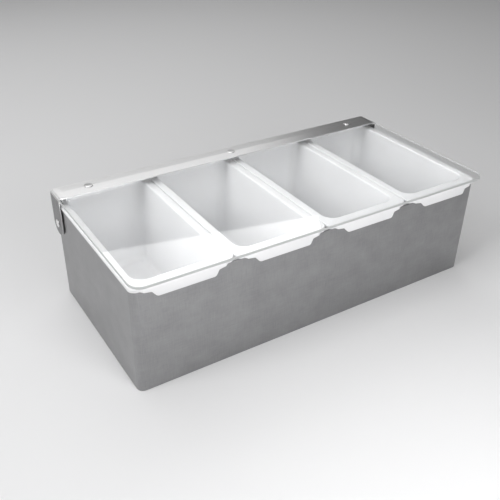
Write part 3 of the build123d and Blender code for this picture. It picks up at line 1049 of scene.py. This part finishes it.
# %% [markdown]
# ## Setting the rivets
# The rivets on the strip sit on its ridge, and their shanks go down through the sheet. The pivots lie on
# their sides, at the middle of the round ends of the ears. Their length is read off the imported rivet, so
# they end where the CAD model's do.

# %% Rivets
def rivets(name, sizes, count, half_span, middle, outward):
    """A row of rivets of one size, in mm, as one plain mesh."""
    section = section_curve(name + "_section", [(x, -z) for x, z in rivet_section(*sizes)])
    piece = run_tree(
        name, rivets_in_a_row, section=section, count=count, half_span=half_span * MM,
        middle=tuple(v * MM for v in middle), outward=outward, material=rivet_steel,
    )
    bpy.data.objects.remove(section)
    print(name, "box mm", [round(v / MM, 2) for v in piece.dimensions])
    return tidy_surface(piece, sharp_angle=50)


LID_HEAD, LID_TAIL = 0.6, 0.8
LID_TAIL_RADIUS, PIVOT_TAIL_RADIUS = 2.8, 2.9
WASHER = 0.6
RIVET_SEAT = STRIP_LEVEL + SHEET / 2 + RIDGE
lid_grip = RIVET_SEAT - LID_LOW.z / MM + WASHER
lid_rivets = rivets(
    "lid_rivets", (LID_HEAD, lid_grip, LID_TAIL_RADIUS, LID_TAIL), 3, RIVET_SPAN,
    (0, STRIP_MIDDLE, RIVET_SEAT), False,
)
place_on(
    lid_rivets, "lid", "rivet_steel", rivet_steel,
    "lid_rivet_left", "lid_rivet_middle", "lid_rivet_right",
)

PIVOT_LOW, PIVOT_HIGH = (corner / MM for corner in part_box("pivot_rivet_right"))
PIVOT_HEAD, PIVOT_TAIL = 0.8, 1.2
pivot_seat = PIVOT_HIGH.x - PIVOT_HEAD
pivot_grip = pivot_seat - PIVOT_LOW.x - PIVOT_TAIL
pivot_rivets = rivets(
    "pivot_rivets", (PIVOT_HEAD, pivot_grip, PIVOT_TAIL_RADIUS, PIVOT_TAIL), 2, pivot_seat,
    (0, STRIP_MIDDLE, PIVOT_HEIGHT), True,
)
place_on(
    pivot_rivets, "case", "rivet_steel", rivet_steel, "pivot_rivet_left", "pivot_rivet_right"
)


# %% [markdown]
# ## Floor
# A product often stands on a sweep, one pale sheet that is floor in front and curves up behind. Here a
# large plane is enough, because the camera looks down on it. It lies a hair below the case's bottom edge,
# so that no two faces share a place.

# %% Floor
FLOOR_HALF = 4.0
FLOOR_DROP = 0.2 * MM


def make_floor():
    """Pale floor, not part of the object."""
    mesh = bpy.data.meshes.new("floor")
    corners = [(x * FLOOR_HALF, y * FLOOR_HALF, 0) for x, y in ((-1, -1), (1, -1), (1, 1), (-1, 1))]
    mesh.from_pydata(corners, [], [(0, 1, 2, 3)])
    floor = bpy.data.objects.new("floor", mesh)
    bpy.context.scene.collection.objects.link(floor)
    floor.location.z = -FLOOR_DROP
    material, _, shader = new_material("floor_pale")
    shader.inputs["Base Color"].default_value = (0.84, 0.84, 0.845, 1)
    shader.inputs["Roughness"].default_value = 0.55
    mesh.materials.append(material)


make_floor()
print("floor metres:", 2 * FLOOR_HALF)


# %% [markdown]
# ## Light
# Soft light comes from large sources. The strongest panel stands high on the left, another hangs over the
# object's left, and a small one low in front brightens the steel. The one behind shapes the look most:
# the strip and the lid mirror it, and its lower edge draws the line that crosses the left tubs. A last
# small one, low behind on the left, is what the strip's bend mirrors. No panel is seen by the camera.

# %% Lights
def add_panel(name, place, aim, width, height, power):
    """A rectangular area light that looks at a point."""
    data = bpy.data.lights.new(name, "AREA")
    data.shape = "RECTANGLE"
    data.size = width
    data.size_y = height
    data.energy = power
    lamp = bpy.data.objects.new(name, data)
    lamp.location = place
    lamp.visible_camera = False
    lamp.rotation_euler = (Vector(aim) - Vector(place)).to_track_quat("-Z", "Y").to_euler()
    bpy.context.scene.collection.objects.link(lamp)
    print(name, "watts:", power)


CENTRE = (0, 0, CASE_HEIGHT / 2)
add_panel(
    "panel_left_high", place=(-0.95, -0.1, 0.8), aim=CENTRE, width=0.6, height=0.6, power=6.0
)
add_panel(
    "panel_front_low", place=(-0.04, -0.45, 0.28), aim=(0.01, -0.14, 0),
    width=0.25, height=0.2, power=1.0,
)
add_panel(
    "panel_overhead", place=(-0.4, 0.05, 1.25), aim=CENTRE, width=0.8, height=0.8, power=2.5
)
add_panel(
    "panel_behind", place=(0.187, 0.869, 1.039), aim=(-0.003, -0.014, 0.104),
    width=1.23, height=0.63, power=3.9,
)
add_panel(
    "panel_behind_left", place=(-0.64, 0.95, 0.42), aim=(-0.15, 0.06, 0.09),
    width=0.5, height=0.35, power=0.6,
)


# %% [markdown]
# ## Sky
# The sky fills the shadows. It is dim low down and brighter overhead, so that the steel has something
# dark and something light to mirror, and a little haze along the horizon softens the floor's far edge.
# The view transform is the plain one, so the tones come out as the lights give them.

# %% Sky
SKY_RISE = (38, 60)
HAZE_FADE = (2, 12)


def add_sky(low, high, haze):
    """A plain sky whose strength depends on the angle above the horizon, in two soft steps."""
    sky = bpy.data.worlds.new("sky")
    sky.use_nodes = True
    tree = sky.node_tree
    direction = add_node(tree, "ShaderNodeTexCoord")
    parts = add_node(tree, "ShaderNodeSeparateXYZ")
    tree.links.new(direction.outputs["Generated"], parts.inputs["Vector"])
    total = add_node(tree, "ShaderNodeMath", operation="ADD")
    for i, ((first, last), start, end) in enumerate(((SKY_RISE, low, high), (HAZE_FADE, haze, 0.0))):
        layer = add_node(
            tree, "ShaderNodeMapRange", interpolation_type="SMOOTHSTEP",
            From_Min=sin(radians(first)), From_Max=sin(radians(last)), To_Min=start, To_Max=end,
        )
        tree.links.new(parts.outputs["Z"], layer.inputs["Value"])
        tree.links.new(layer.outputs["Result"], total.inputs[i])
    tree.links.new(total.outputs["Value"], tree.nodes["Background"].inputs["Strength"])
    tree.nodes["Background"].inputs["Color"].default_value = (1, 1, 1, 1)
    bpy.context.scene.world = sky


add_sky(low=0.10, high=0.30, haze=0.09)
bpy.context.scene.view_settings.view_transform = "Standard"
print("world:", bpy.context.scene.world.name)

# %% [markdown]
# ## Camera
# The camera stands where the photographer stood. Its place, its turn and its lens were found by matching
# the model's edges with the same edges in the photograph, so that the two pictures can be laid on each
# other. A slight roll belongs to the match.

# %% Camera
IMAGE_SIZE = 500
FOCAL_PIXELS = 672.65
CAMERA_PLACE = Vector((-0.26849, -0.38617, 0.32146))
CAMERA_AZIMUTH = radians(32.85)
CAMERA_DOWN = radians(32.14)
CAMERA_ROLL = radians(1.07)
SENSOR = 36.0


def add_camera():
    """Camera at the photograph's viewpoint."""
    data = bpy.data.cameras.new("camera")
    data.sensor_width = SENSOR
    data.lens = FOCAL_PIXELS / IMAGE_SIZE * SENSOR
    data.clip_start = 0.01
    camera = bpy.data.objects.new("camera", data)
    forward = Vector((
        sin(CAMERA_AZIMUTH) * cos(CAMERA_DOWN),
        cos(CAMERA_AZIMUTH) * cos(CAMERA_DOWN),
        -sin(CAMERA_DOWN),
    ))
    right = Vector((cos(CAMERA_AZIMUTH), -sin(CAMERA_AZIMUTH), 0))
    up = right.cross(forward)
    turned_right = right * cos(CAMERA_ROLL) + up * sin(CAMERA_ROLL)
    turned_up = up * cos(CAMERA_ROLL) - right * sin(CAMERA_ROLL)
    turn = Matrix((turned_right, turned_up, -forward)).transposed()
    camera.matrix_world = Matrix.Translation(CAMERA_PLACE) @ turn.to_4x4()
    bpy.context.scene.collection.objects.link(camera)
    bpy.context.scene.camera = camera
    return camera


camera = add_camera()
print("lens mm:", round(camera.data.lens, 2))
